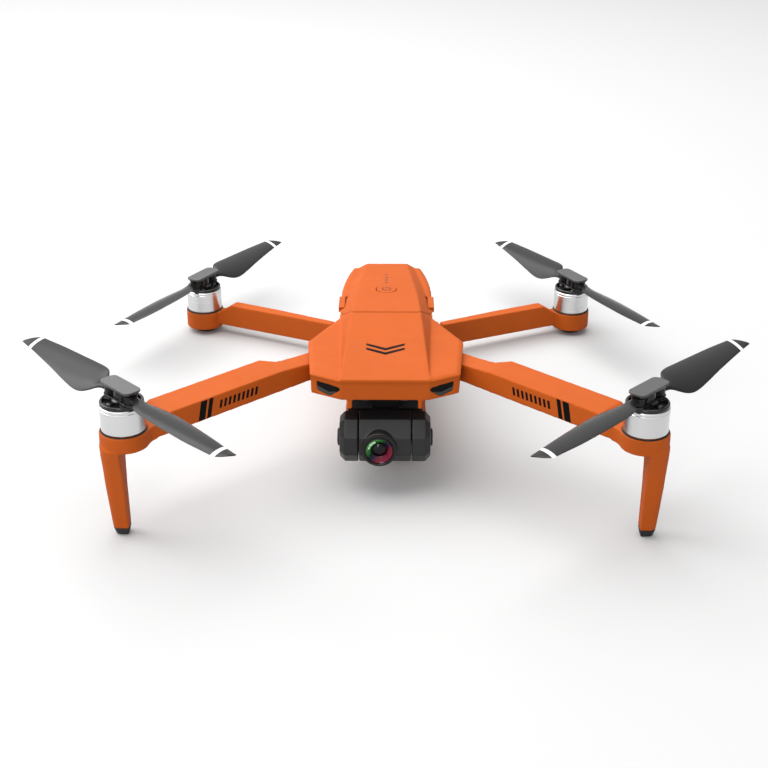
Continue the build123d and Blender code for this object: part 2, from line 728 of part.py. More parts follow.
def rear_pad():
    with BuildPart() as pad:
        with Locations((*REAR_MOTOR, 0)):
            Cylinder(6.0, REAR_POD_BOTTOM, align=(Align.CENTER, Align.CENTER, Align.MIN))
        chamfer(pad.faces().sort_by(Axis.Z)[0].edges(), length=0.8)
    return pad.part


# ---- motor and propeller -----------------------------------------------------------------------
CAN_HEIGHT = 12.3
BLADE_MID = 16.9
EYE_HALF = 1.7
EYE_RADIUS = 3.3
SHAFT_RADIUS = 1.5
BLADE_PIN_RADIUS = 1.2
CARRIER_LENGTH = 21.0
RING_HEIGHT = 1.6
CAP_UNDERSIDE = 6.7


def motor_stator(motor, seat):
    with BuildPart() as stator:
        with Locations((*motor, seat)):
            Cylinder(9.2, 0.7, align=(Align.CENTER, Align.CENTER, Align.MIN))
            Cylinder(6.4, 8.6, align=(Align.CENTER, Align.CENTER, Align.MIN))
        with Locations((*motor, seat)):
            Cylinder(SHAFT_RADIUS + RUN, 30, mode=Mode.SUBTRACT)
    return stator.part


def motor_bell(motor, seat):
    with BuildPart() as bell:
        with Locations((*motor, seat + 1.1)):
            Cylinder(BELL_RADIUS, CAN_HEIGHT - 1.1, align=(Align.CENTER, Align.CENTER, Align.MIN))
            Cylinder(7.4, CAN_HEIGHT - 2.3, align=(Align.CENTER, Align.CENTER, Align.MIN), mode=Mode.SUBTRACT)
        with Locations((*motor, seat + 0.6)):
            Cylinder(SHAFT_RADIUS, CAN_HEIGHT - 1.0, align=(Align.CENTER, Align.CENTER, Align.MIN))
    return bell.part


def hub_plane(motor, angle, z):
    turn = Vector(cos(radians(angle)), sin(radians(angle)), 0)
    return Plane(origin=(motor[0], motor[1], z), x_dir=turn, z_dir=(0, 0, 1))


def prop_hub(motor, seat, angle):
    """Slotted ring on the bell, the blade carrier and its two upright pins."""
    top = seat + CAN_HEIGHT
    with BuildPart() as hub:
        with BuildSketch(hub_plane(motor, angle, top)):
            Circle(8.9)
            with PolarLocations(6.3, 9):
                Circle(1.1, mode=Mode.SUBTRACT)
        extrude(amount=RING_HEIGHT)
        with BuildSketch(hub_plane(motor, angle, top + RING_HEIGHT)):
            SlotOverall(CARRIER_LENGTH, 7.4)
        extrude(amount=1.0)
        with BuildSketch(hub_plane(motor, angle, top + RING_HEIGHT)):
            Circle(2.4)
            with Locations((BLADE_PIN_OFFSET, 0), (-BLADE_PIN_OFFSET, 0)):
                Circle(BLADE_PIN_RADIUS)
        extrude(amount=CAP_UNDERSIDE - RING_HEIGHT)
    return hub.part


def hub_cap(motor, seat, angle):
    with BuildPart() as cap:
        with BuildSketch(hub_plane(motor, angle, seat + CAN_HEIGHT + CAP_UNDERSIDE)):
            SlotOverall(CARRIER_LENGTH, 8.2)
        extrude(amount=2.0)
        chamfer(cap.faces().sort_by(Axis.Z)[-1].edges(), length=0.6)
    return cap.part


# share of the blade's radius, width ahead of the axis, width behind it, pitch in degrees
BLADE_STATIONS = (
    (0.17, 2.8, 3.2, 20.0),
    (0.22, 6.0, 6.4, 20.0),
    (0.31, 8.2, 8.6, 18.0),
    (0.44, 8.4, 7.8, 15.0),
    (0.73, 7.9, 4.6, 11.0),
    (1.00, 6.7, 2.0, 8.0),
)


def blade(motor, seat, angle, sense, reach):
    """One twisted blade. Sense is +1 for a rotor that turns counter-clockwise seen from above."""
    mid = seat + BLADE_MID
    out = Vector(cos(radians(angle)), sin(radians(angle)), 0)
    ahead = Vector(-out.Y, out.X, 0) * sense
    foot = Vector(motor[0], motor[1], mid)
    sections = []
    for share, lead, trail, pitch in BLADE_STATIONS:
        rise = tan(radians(pitch))
        station = Plane(origin=foot + out * (share * reach), x_dir=ahead, z_dir=ahead.cross(Vector(0, 0, 1)))
        with BuildSketch(station) as section:
            with BuildLine():
                Polyline((lead, rise * lead - 0.3), (lead, rise * lead + 0.3), (lead * 0.3, rise * lead * 0.3 + 0.8),
                         (-trail, -rise * trail + 0.25), (-trail, -rise * trail - 0.25),
                         (lead * 0.3, rise * lead * 0.3 - 0.6), close=True)
            make_face()
        sections.append(section.sketch)
    with BuildPart() as solid:
        loft(sections, ruled=True)
        with BuildSketch(hub_plane(motor, angle, mid - EYE_HALF)):
            with Locations((BLADE_PIN_OFFSET, 0)):
                Circle(EYE_RADIUS)
            with Locations((11, 0)):
                Rectangle(8, 5.0)
        extrude(amount=2 * EYE_HALF)
        with BuildSketch(hub_plane(motor, angle, mid - 5)):
            with Locations((BLADE_PIN_OFFSET, 0)):
                Circle(BLADE_PIN_RADIUS + RUN)
        extrude(amount=10, mode=Mode.SUBTRACT)
    return solid.part


# ---- write the parts ---------------------------------------------------------------------------
def save(solid, name):
    solid.label = name
    export_step(solid, f"parts/{name}.step")


def save_pair(left, pattern):
    """Write a left sub-part and its mirror image; the pattern holds a place for the side's name."""
    save(left, pattern.format("left"))
    with BuildPart() as right:
        mirror(left, about=Plane.YZ)
    save(right.part, pattern.format("right"))


os.makedirs("parts", exist_ok=True)

save(lower_hull(), "lower_hull")
save(upper_canopy(), "upper_canopy")
save(hull_screws(), "hull_screws")
save(arm_hinge_pins(), "arm_hinge_pins")
save(main_board(), "main_board")
save(gps_module(), "gps_module")
save(flow_sensor(), "flow_sensor")
save(tail_light_lens(), "tail_light_lens")
save(battery_connector(), "battery_connector")
save(battery_case(), "battery_case")
save(battery_cells(), "battery_cells")
save(battery_lid(), "battery_lid")
save(battery_leds(), "battery_leds")
save(power_button(), "power_button")
save(gimbal_mount_plate(), "gimbal_mount_plate")
save(gimbal_dampers(), "gimbal_dampers")
save(gimbal_base(), "gimbal_base")
save(gimbal_yoke(), "gimbal_yoke")
save(gimbal_caps(), "gimbal_caps")
save(camera_barrel(), "camera_barrel")
save(lens_ring(), "lens_ring")
save(lens_glass(), "lens_glass")
save(camera_board(), "camera_board")

save_pair(nose_window(), "{}_nose_window")
save_pair(release_button(), "{}_release_button")
save_pair(front_arm(), "front_{}_arm")
save_pair(front_foot(), "front_{}_foot")
save_pair(rear_arm(), "rear_{}_arm")
save_pair(rear_pad(), "rear_{}_pad")

# name, motor, seat height, blade angle, direction of spin, blade radius
ROTORS = (
    ("front_{}", FRONT_MOTOR, FRONT_SEAT_Z, FRONT_BLADE_ANGLE, -1, FRONT_BLADE_RADIUS),
    ("rear_{}", REAR_MOTOR, REAR_SEAT_Z, REAR_BLADE_ANGLE, 1, REAR_BLADE_RADIUS),
)
for place, motor, seat, angle, sense, reach in ROTORS:
    save_pair(motor_stator(motor, seat), place + "_stator")
    save_pair(motor_bell(motor, seat), place + "_bell")
    save_pair(prop_hub(motor, seat, angle), place + "_prop_hub")
    save_pair(hub_cap(motor, seat, angle), place + "_hub_cap")
    save_pair(blade(motor, seat, angle, sense, reach), place + "_blade_a")
    save_pair(blade(motor, seat, angle + 180, sense, reach), place + "_blade_b")
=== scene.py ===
"""Looks of the folding camera quadcopter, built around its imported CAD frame. Lengths are in metres."""
import json
from math import atan2, cos, pi, radians, sin, tan

import bmesh
import bpy
from mathutils import Matrix, Vector
from mathutils.bvhtree import BVHTree

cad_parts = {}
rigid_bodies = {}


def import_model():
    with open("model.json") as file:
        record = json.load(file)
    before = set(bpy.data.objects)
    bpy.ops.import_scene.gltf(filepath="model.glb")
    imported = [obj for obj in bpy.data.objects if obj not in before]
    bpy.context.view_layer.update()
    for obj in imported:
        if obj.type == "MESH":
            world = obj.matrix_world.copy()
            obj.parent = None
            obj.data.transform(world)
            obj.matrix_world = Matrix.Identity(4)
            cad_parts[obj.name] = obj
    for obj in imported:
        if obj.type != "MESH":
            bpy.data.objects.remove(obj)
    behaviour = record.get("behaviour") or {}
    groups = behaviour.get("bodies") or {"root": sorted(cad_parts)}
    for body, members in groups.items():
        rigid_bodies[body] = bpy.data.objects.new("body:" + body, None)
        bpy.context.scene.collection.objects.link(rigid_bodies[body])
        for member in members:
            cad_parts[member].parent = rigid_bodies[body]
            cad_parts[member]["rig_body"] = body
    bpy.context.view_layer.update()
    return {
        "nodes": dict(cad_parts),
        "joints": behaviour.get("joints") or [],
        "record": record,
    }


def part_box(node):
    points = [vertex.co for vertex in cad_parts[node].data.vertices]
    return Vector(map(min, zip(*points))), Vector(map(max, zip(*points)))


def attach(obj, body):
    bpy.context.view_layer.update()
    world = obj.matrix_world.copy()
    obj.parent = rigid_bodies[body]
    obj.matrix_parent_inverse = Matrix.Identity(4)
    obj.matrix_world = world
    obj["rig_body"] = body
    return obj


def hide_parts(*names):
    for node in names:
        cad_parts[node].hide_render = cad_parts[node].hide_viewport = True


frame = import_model()
NODES = frame["nodes"]
MM = 0.001


# ---- materials ---------------------------------------------------------------------------------
def new_material(name):
    material = bpy.data.materials.new(name)
    material.use_nodes = True
    tree = material.node_tree
    tree.nodes.clear()
    output = tree.nodes.new("ShaderNodeOutputMaterial")
    shader = tree.nodes.new("ShaderNodeBsdfPrincipled")
    tree.links.new(shader.outputs["BSDF"], output.inputs["Surface"])
    return material, tree, shader


def object_noise(tree, scale, detail=4.0, stretch=None):
    """Noise in the piece's own coordinates, which are metres."""
    coordinates = tree.nodes.new("ShaderNodeTexCoord")
    noise = tree.nodes.new("ShaderNodeTexNoise")
    noise.inputs["Scale"].default_value = scale
    noise.inputs["Detail"].default_value = detail
    source = coordinates.outputs["Object"]
    if stretch:
        mapping = tree.nodes.new("ShaderNodeMapping")
        mapping.inputs["Scale"].default_value = stretch
        tree.links.new(source, mapping.inputs["Vector"])
        source = mapping.outputs["Vector"]
    tree.links.new(source, noise.inputs["Vector"])
    return noise


def colour_bands(tree, source, stops):
    """Colour ramp through any number of (position, colour) stops."""
    ramp = tree.nodes.new("ShaderNodeValToRGB")
    while len(ramp.color_ramp.elements) < len(stops):
        ramp.color_ramp.elements.new(0.5)
    for element, (position, colour) in zip(ramp.color_ramp.elements, stops):
        element.position = position
        element.color = (*colour, 1)
    tree.links.new(source, ramp.inputs["Fac"])
    return ramp.outputs["Color"]


NOISE_LOW = 0.3
NOISE_HIGH = 0.7


def noise_colours(tree, source, low, high):
    """Colour that drifts between two shades over the middle range of a noise."""
    return colour_bands(tree, source, ((NOISE_LOW, low), (NOISE_HIGH, high)))


def grey(level):
    return (level, level, level)


def grey_bands(tree, source, stops):
    return colour_bands(tree, source, [(position, grey(level)) for position, level in stops])


def multiplied(tree, first, second):
    """Product of two colour outputs."""
    mix = tree.nodes.new("ShaderNodeMix")
    mix.data_type = "RGBA"
    mix.blend_type = "MULTIPLY"
    mix.inputs["Factor"].default_value = 1.0
    colour_inputs = [socket for socket in mix.inputs if socket.type == "RGBA"]
    tree.links.new(first, colour_inputs[0])
    tree.links.new(second, colour_inputs[1])
    return next(socket for socket in mix.outputs if socket.type == "RGBA")


def arithmetic(tree, operation, *values):
    """Math node whose inputs are either outputs of other nodes or plain numbers."""
    node = tree.nodes.new("ShaderNodeMath")
    node.operation = operation
    for socket, value in zip(node.inputs, values):
        if isinstance(value, (int, float)):
            socket.default_value = value
        else:
            tree.links.new(value, socket)
    return node.outputs["Value"]


def object_axes(tree):
    """The x, y and z of the shaded point, in metres."""
    coordinates = tree.nodes.new("ShaderNodeTexCoord")
    split = tree.nodes.new("ShaderNodeSeparateXYZ")
    tree.links.new(coordinates.outputs["Object"], split.inputs["Vector"])
    return split.outputs["X"], split.outputs["Y"], split.outputs["Z"]


def range_between(tree, source, low, high):
    span = tree.nodes.new("ShaderNodeMapRange")
    span.inputs["From Min"].default_value = NOISE_LOW
    span.inputs["From Max"].default_value = NOISE_HIGH
    span.inputs["To Min"].default_value = low
    span.inputs["To Max"].default_value = high
    tree.links.new(source, span.inputs["Value"])
    return span.outputs["Result"]


def add_bump(tree, shader, source, strength, distance):
    bump = tree.nodes.new("ShaderNodeBump")
    bump.inputs["Strength"].default_value = strength
    bump.inputs["Distance"].default_value = distance
    tree.links.new(source, bump.inputs["Height"])
    tree.links.new(bump.outputs["Normal"], shader.inputs["Normal"])


DRIFT_SCALE = 35.0
GLOSS_SCALE = 160.0
GRAIN_SCALE = 2600.0
GRAIN_STRENGTH = 0.35
GRAIN_DEPTH = 0.00003
FINE_GRAIN_DEPTH = 0.000003


def moulded(name, low, high, rough=(0.34, 0.46), grain=GRAIN_SCALE, grain_depth=GRAIN_DEPTH,
            coat=0.0, specular=0.4):
    """Moulded plastic: slight colour drift, uneven gloss and a fine spark-eroded grain."""
    material, tree, shader = new_material(name)
    drift = object_noise(tree, DRIFT_SCALE, detail=3.0)
    colour = noise_colours(tree, drift.outputs["Fac"], low, high)
    tree.links.new(colour, shader.inputs["Base Color"])
    gloss = object_noise(tree, GLOSS_SCALE, detail=5.0)
    tree.links.new(range_between(tree, gloss.outputs["Fac"], *rough), shader.inputs["Roughness"])
    fine = object_noise(tree, grain, detail=2.0)
    add_bump(tree, shader, fine.outputs["Fac"], GRAIN_STRENGTH, grain_depth)
    shader.inputs["Coat Weight"].default_value = coat
    shader.inputs["Coat Roughness"].default_value = 0.3
    shader.inputs["Specular IOR Level"].default_value = specular
    return material


def plain_moulded(name, low, high, **finish):
    """Moulded plastic that drifts between two levels of grey."""
    return moulded(name, grey(low), grey(high), **finish)


def orange_paint():
    low = (0.362, 0.0625, 0.0022)
    high = (0.387, 0.0675, 0.0028)
    return moulded("orange_shell", low, high, rough=(0.66, 0.74), specular=0.19)


LENS_RADIUS = 0.0066
# painted reflection colours on the lens, from the lower right (0) to the upper left (1)
LENS_REFLECTION_TINTS = (
    (0.0, (0.16, 0.002, 0.022)), (0.25, (0.13, 0.002, 0.018)), (0.42, (0.012, 0.008, 0.035)),
    (0.60, (0.002, 0.018, 0.010)), (0.78, (0.012, 0.120, 0.020)), (1.0, (0.080, 0.250, 0.070)),
)
LENS_REFLECTION_REACH = 1.14 * LENS_RADIUS
# brightness of the painted reflection across the rings of the lens, by share of its radius
LENS_REFLECTION_RINGS = (
    (0.0, 0.10), (0.40, 0.16), (0.45, 0.03), (0.52, 0.03),
    (0.58, 0.8), (0.86, 1.0), (0.93, 0.12), (0.97, 0.5),
)


def painted_lens_reflection():
    """Painted reflection on coated glass: green towards the upper left, red towards the lower right, near
    black in the middle.
    """
    low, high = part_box("lens_glass")
    material, tree, shader = new_material("lens_coating")
    x, _, z = object_axes(tree)
    across = arithmetic(tree, "SUBTRACT", x, (low[0] + high[0]) / 2)
    up = arithmetic(tree, "SUBTRACT", z, (low[2] + high[2]) / 2)
    lean = arithmetic(tree, "SUBTRACT", up, across)
    share = arithmetic(tree, "MULTIPLY_ADD", lean, 0.5 / LENS_REFLECTION_REACH, 0.5)
    reflection_tint = colour_bands(tree, share, LENS_REFLECTION_TINTS)
    across_squared = arithmetic(tree, "POWER", across, 2.0)
    up_squared = arithmetic(tree, "POWER", up, 2.0)
    distance = arithmetic(tree, "SQRT", arithmetic(tree, "ADD", across_squared, up_squared))
    rings = grey_bands(tree, arithmetic(tree, "DIVIDE", distance, LENS_RADIUS), LENS_REFLECTION_RINGS)
    tree.links.new(multiplied(tree, reflection_tint, rings), shader.inputs["Base Color"])
    shader.inputs["Roughness"].default_value = 0.08
    shader.inputs["Specular IOR Level"].default_value = 0.25
    return material


WINDOW_PEAK_X = 0.0255
WINDOW_SLOPE = 0.30
# pane colour from the bottom up; the paler grey low down is painted sheen on the lower bevel
WINDOW_PAINTED_SHEEN_SHADES = (
    (0.0, (0.034, 0.036, 0.035)), (0.26, (0.050, 0.053, 0.052)),
    (0.34, (0.003, 0.003, 0.003)), (1.0, (0.006, 0.006, 0.006)),
)


def window_pane():
    """Dark pane with a painted sheen that makes the bevel along its lower, pointed edge paler."""
    low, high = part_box("left_nose_window")
    material, tree, shader = new_material("window_pane")
    x, _, z = object_axes(tree)
    from_peak = arithmetic(tree, "SUBTRACT", arithmetic(tree, "ABSOLUTE", x), WINDOW_PEAK_X)
    rise = arithmetic(tree, "MULTIPLY", arithmetic(tree, "ABSOLUTE", from_peak), WINDOW_SLOPE)
    height = arithmetic(tree, "SUBTRACT", arithmetic(tree, "SUBTRACT", z, rise), low[2])
    share = arithmetic(tree, "DIVIDE", height, high[2] - low[2])
    tree.links.new(colour_bands(tree, share, WINDOW_PAINTED_SHEEN_SHADES), shader.inputs["Base Color"])
    shader.inputs["Roughness"].default_value = 0.3
    shader.inputs["Specular IOR Level"].default_value = 0.08
    return material


def turned_silver():
    """Bead-blasted and turned aluminium with faint tool rings round the upright axis."""
    material, tree, shader = new_material("turned_silver")
    rings = object_noise(tree, 1.0, detail=4.0, stretch=(8.0, 8.0, 5200.0))
    colour = noise_colours(tree, rings.outputs["Fac"], (0.58, 0.58, 0.585), (0.66, 0.66, 0.665))
    tree.links.new(colour, shader.inputs["Base Color"])
    tree.links.new(range_between(tree, rings.outputs["Fac"], 0.20, 0.28), shader.inputs["Roughness"])
    add_bump(tree, shader, rings.outputs["Fac"], 0.15, 0.000008)
    shader.inputs["Metallic"].default_value = 1.0
    return material


def copper_wire():
    material, tree, shader = new_material("copper_wire")
    strands = object_noise(tree, 1.0, detail=3.0, stretch=(500.0, 500.0, 4200.0))
    colour = noise_colours(tree, strands.outputs["Fac"], (0.30, 0.10, 0.035), (0.72, 0.33, 0.14))
    tree.links.new(colour, shader.inputs["Base Color"])
    tree.links.new(range_between(tree, strands.outputs["Fac"], 0.25, 0.5), shader.inputs["Roughness"])
    add_bump(tree, shader, strands.outputs["Fac"], 0.6, 0.0001)
    shader.inputs["Metallic"].default_value = 0.9
    return material


def steel():
    material, tree, shader = new_material("steel")
    brushed = object_noise(tree, 1.0, detail=4.0, stretch=(300.0, 300.0, 2600.0))
    colour = noise_colours(tree, brushed.outputs["Fac"], (0.40, 0.40, 0.41), (0.58, 0.58, 0.59))
    tree.links.new(colour, shader.inputs["Base Color"])
    tree.links.new(range_between(tree, brushed.outputs["Fac"], 0.22, 0.38), shader.inputs["Roughness"])
    shader.inputs["Metallic"].default_value = 1.0
    return material


MATERIALS = {
    "orange_shell": orange_paint(),
    "silver_bell": turned_silver(),
    "stator_metal": copper_wire(),
    "steel_pin": steel(),
    "black_gloss": plain_moulded(
        "black_gloss", 0.004, 0.007, rough=(0.10, 0.14), grain_depth=FINE_GRAIN_DEPTH, specular=0.3),
    "black_plastic": plain_moulded("black_plastic", 0.008, 0.013, specular=0.3),
    "gimbal_black": plain_moulded("gimbal_black", 0.009, 0.013, rough=(0.34, 0.42), specular=0.3),
    "blade_plastic": plain_moulded(
        "blade_plastic", 0.008, 0.011, rough=(0.24, 0.27), grain_depth=FINE_GRAIN_DEPTH, specular=0.18),
    "foot_rubber": plain_moulded(
        "foot_rubber", 0.010, 0.020, rough=(0.62, 0.80), grain=1800.0, grain_depth=0.00005),
    # board made near black as painted shade between the gimbal cheeks
    "circuit_board": moulded(
        "circuit_board", (0.004, 0.010, 0.007), (0.008, 0.018, 0.012), rough=(0.3, 0.45)),
    "cell_foil": moulded("cell_foil", (0.45, 0.46, 0.48), (0.58, 0.59, 0.61), rough=(0.25, 0.4)),
    "light_lens": moulded(
        "light_lens", (0.30, 0.012, 0.008), (0.42, 0.020, 0.012), rough=(0.10, 0.16), coat=0.5),
    "led_lens": moulded("led_lens", (0.120, 0.022, 0.003), (0.150, 0.028, 0.004), rough=(0.2, 0.3)),
    # lens glass coloured with a painted reflection
    "lens_coating": painted_lens_reflection(),
    "window_pane": window_pane(),
    "white_print": plain_moulded("white_print", 0.62, 0.70, rough=(0.35, 0.45)),
    "black_print": plain_moulded("black_print", 0.003, 0.005, rough=(0.55, 0.65), specular=0.05),
    "brown_print": moulded(
        "brown_print", (0.060, 0.010, 0.003), (0.080, 0.014, 0.004), rough=(0.45, 0.60), specular=0.2),
    "mint_glint": moulded("mint_glint", (0.30, 0.62, 0.34), (0.55, 0.80, 0.55), rough=(0.2, 0.3)),
    "cap_grey": plain_moulded("cap_grey", 0.046, 0.056, rough=(0.36, 0.42)),
    "hub_black": plain_moulded("hub_black", 0.004, 0.008, rough=(0.12, 0.22)),
}
MATERIALS["battery_shell"] = MATERIALS["orange_shell"]
MATERIALS["arm_shell"] = MATERIALS["orange_shell"]
MATERIALS["button_plastic"] = MATERIALS["orange_shell"]
SLOT_OF = {s["node"]: s["material_slot"] for s in frame["record"]["subparts"]}


# ---- building blocks ---------------------------------------------------------------------------
WELD_GAP = 0.002 * MM
FLAT_ANGLE = radians(0.6)
CREASE_ANGLE = radians(25)
SHARP_ANGLE = radians(30)


def soften(piece, width):
    """Joins the triangles of a CAD mesh and rounds its hard edges a little."""
    weld = piece.modifiers.new("weld", "WELD")
    weld.merge_threshold = WELD_GAP
    flat = piece.modifiers.new("flat_faces", "DECIMATE")
    flat.decimate_type = "DISSOLVE"
    flat.angle_limit = FLAT_ANGLE
    bevel = piece.modifiers.new("soft_edges", "BEVEL")
    bevel.width = width
    bevel.segments = 3
    bevel.limit_method = "ANGLE"
    bevel.angle_limit = CREASE_ANGLE


def shade_smooth(piece):
    mesh = piece.data
    for polygon in mesh.polygons:
        polygon.use_smooth = True
    mesh.set_sharp_from_angle(angle=SHARP_ANGLE)


EDGE_WIDTH = {
    "battery_case": 0.0005, "gimbal_caps": 0.0003,
    "left_nose_window": 0.0002, "right_nose_window": 0.0002,
}


def dress_cad_nodes():
    for name, node in NODES.items():
        node.data.materials.clear()
        look = "window_pane" if name.endswith("nose_window") else SLOT_OF[name]
        node.data.materials.append(MATERIALS[look])
        if name in EDGE_WIDTH:
            soften(node, EDGE_WIDTH[name])
        shade_smooth(node)


def skin(build, rings, closed=False):
    """Joins equally long closed rings of points into one closed surface."""
    rows = [[build.verts.new(point) for point in ring] for ring in rings]
    pairs = list(zip(rows, rows[1:]))
    if closed:
        pairs.append((rows[-1], rows[0]))
    for near, far in pairs:
        for i in range(len(near)):
            j = (i + 1) % len(near)
            build.faces.new((near[i], near[j], far[j], far[i]))
    if not closed:
        build.faces.new(rows[0])
        build.faces.new(rows[-1][::-1])


def lathe(build, place, profile, closed=False, sides=72):
    """Turns (radius, height) points in millimetres about the z axis of the matrix place."""
    turns = [2 * pi * i / sides for i in range(sides)]
    rings = []
    for radius, height in profile:
        ring = [Vector((radius * cos(turn), radius * sin(turn), height)) for turn in turns]
        rings.append([place @ (point * MM) for point in ring])
    skin(build, rings, closed)


def prism(build, place, outline, low, high):
    """Upright block over a flat outline, all in millimetres in the frame of the matrix place."""
    skin(build, [[place @ Vector((x * MM, y * MM, z * MM)) for x, y in outline] for z in (low, high)])


def block_outline(left, right, front, back):
    return [(left, front), (right, front), (right, back), (left, back)]


def mirror_over(build):
    """Turns a left-hand form into the right-hand one."""
    bmesh.ops.scale(build, vec=(-1, 1, 1), verts=build.verts)


def add_piece(name, build, body, materials, nodes=()):
    """Makes a piece that rides on a body, fills a material slot and may stand in for CAD nodes."""
    bmesh.ops.recalc_face_normals(build, faces=build.faces)
    mesh = bpy.data.meshes.new(name)
    build.to_mesh(mesh)
    build.free()
    piece = bpy.data.objects.new(name, mesh)
    bpy.context.scene.collection.objects.link(piece)
    for material in materials:
        mesh.materials.append(material)
    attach(piece, body)
    if nodes:
        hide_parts(*nodes)
    shade_smooth(piece)
    return piece


def round_edges(piece, width):
    bevel = piece.modifiers.new("soft_edges", "BEVEL")
    bevel.width = width * MM
    bevel.segments = 2
    bevel.limit_method = "ANGLE"
    bevel.angle_limit = SHARP_ANGLE


def body_named(node):
    return NODES[node]["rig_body"]


def joint_place(name):
    return Vector(next(joint["pos_m"] for joint in frame["joints"] if joint["name"] == name))


def box_centre(node):
    low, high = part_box(node)
    return (Vector(low) + Vector(high)) / 2


# ---- moulded shells ----------------------------------------------------------------------------
def moulded_shell(node, voxel, rounds, filler=None):
    """The CAD form with every edge rounded over, as a moulding has."""
    build = bmesh.new()
    build.from_mesh(NODES[node].data)
    bmesh.ops.remove_doubles(build, verts=build.verts, dist=WELD_GAP)
    if filler:
        filler(build, "right" in node)
    slot = SLOT_OF[node]
    piece = add_piece(node + "_shell", build, body_named(node), [MATERIALS[slot]], [node])
    remesh = piece.modifiers.new("skin", "REMESH")
    remesh.mode = "VOXEL"
    remesh.voxel_size = voxel * MM
    remesh.use_smooth_shade = True
    rounding = piece.modifiers.new("rounding", "SMOOTH")
    rounding.factor = 0.5
    rounding.iterations = rounds
    return piece


ARM_ANGLE = radians(43.0)
ARM_FRONT = 6.8
POD_RADIUS = 10.8
POD_FILLET = 11.0
POD_BOTTOM = 44.4
POD_OVERLAP = 2.0
ARC_STEPS = 12


def arm_frame():
    """Plan frame of the left front arm: x along the arm from the motor, y across it, z up from the ground."""
    motor = joint_place("front_left_spin")
    return Matrix.Translation((motor.x, motor.y, 0)) @ Matrix.Rotation(ARM_ANGLE, 4, "Z")


def pod_fillet(build):
    """Hollow fillet where the front of the arm flows into the motor pod."""
    span = POD_RADIUS + POD_FILLET
    drop = ARM_FRONT + POD_FILLET
    along = (span * span - drop * drop) ** 0.5
    start = atan2(drop, -along)
    inside = -ARM_FRONT + POD_OVERLAP
    outline = [(0, inside)]
    for step in range(ARC_STEPS + 1):
        angle = start + (pi / 2 - start) * step / ARC_STEPS
        outline.append((along + POD_FILLET * cos(angle), -drop + POD_FILLET * sin(angle)))
    outline.append((along, inside))
    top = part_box("front_left_stator")[0][2] / MM
    prism(build, arm_frame(), outline, POD_BOTTOM, top)


LEG_INSIDE = -1.0
LEG_ROUNDNESS = 0.75
# height, then how far the leg reaches outwards, forwards and backwards from the motor axis
LEG_SECTIONS = (
    (44.6, -10.75, -10.7, 8.0),
    (40.0, -10.6, -9.6, 5.6),
    (35.0, -10.25, -8.2, 4.2),
    (30.0, -9.9, -7.0, 3.2),
)


def leg_root(build):
    """Lets the outer side of the pod run down into the landing leg without a step."""
    motor = joint_place("front_left_spin") / MM
    rings = []
    for z, outer, front, back in LEG_SECTIONS:
        ring = []
        for step in range(2 * ARC_STEPS + 1):
            turn = pi * step / (2 * ARC_STEPS)
            x = LEG_INSIDE + (outer - LEG_INSIDE) * sin(turn) ** LEG_ROUNDNESS
            y = (front + back) / 2 + (front - back) / 2 * cos(turn)
            ring.append(Vector((motor.x + x, motor.y + y, z)) * MM)
        rings.append(ring)
    skin(build, rings)


def front_arm_filler(build, on_right):
    """Adds the pod fillet and the leg root to a front arm."""
    extra = bmesh.new()
    pod_fillet(extra)
    leg_root(extra)
    if on_right:
        mirror_over(extra)
    bmesh.ops.recalc_face_normals(extra, faces=extra.faces)
    mesh = bpy.data.meshes.new("front_arm_filler")
    extra.to_mesh(mesh)
    extra.free()
    build.from_mesh(mesh)
    bpy.data.meshes.remove(mesh)


def build_shells():
    moulded_shell("upper_canopy", 0.45, 7)
    moulded_shell("battery_lid", 0.45, 4)
    moulded_shell("lower_hull", 0.7, 3)
    for side in ("left", "right"):
        moulded_shell(f"front_{side}_arm", 0.45, 7, front_arm_filler)
        moulded_shell(f"rear_{side}_arm", 0.45, 6)
        moulded_shell(f"front_{side}_foot", 0.3, 5)
    moulded_shell("gimbal_yoke", 0.35, 8)
    moulded_shell("camera_barrel", 0.3, 14)


# ---- propellers and motors ---------------------------------------------------------------------
# share of the radius, width ahead of the axis, width behind it, pitch in degrees, half thickness
BLADE_FORM = (
    (0.125, 2.4, 2.6, 2.0, 1.5),
    (0.165, 2.6, 3.0, 10.0, 1.3),
    (0.20, 4.6, 4.9, 19.0, 1.0),
    (0.245, 7.0, 7.4, 20.0, 0.85),
    (0.31, 8.2, 8.6, 18.0, 0.75),
    (0.44, 8.4, 7.8, 15.0, 0.65),
    (0.58, 8.2, 6.2, 13.0, 0.55),
    (0.73, 7.9, 4.6, 11.0, 0.48),
    (0.88, 7.0, 3.0, 9.5, 0.40),
    (1.00, 6.3, 1.9, 8.0, 0.30),
)
BLADE_BOW = 0.012
BLADE_BODY_STEPS = 40
TIP_CURVE = 5.0
TIP_STEPS = 8
STRIPE_WIDTH = 2.1
STRIPE_LEAN = 3.5
STRIPE_FROM_TIP = 5.6
HALF_CHORD_POINTS = 10


def eased(table, share):
    """Smooth curve through the rows of a table whose first column is the position."""
    last = len(table) - 1
    i = min(max(k for k in range(last) if table[k][0] <= share), last - 1)
    low, high = table[i], table[i + 1]
    gap = high[0] - low[0]
    t = (share - low[0]) / gap
    before = table[max(i - 1, 0)]
    after = table[min(i + 2, last)]
    values = []
    for column in range(1, len(low)):
        start_slope = (high[column] - before[column]) / (high[0] - before[0])
        end_slope = (after[column] - low[column]) / (after[0] - low[0])
        ends = low[column] * (2 * t**3 - 3 * t**2 + 1) + high[column] * (3 * t**2 - 2 * t**3)
        slopes = gap * (start_slope * (t**3 - 2 * t**2 + t) + end_slope * (t**3 - t**2))
        values.append(ends + slopes)
    return values


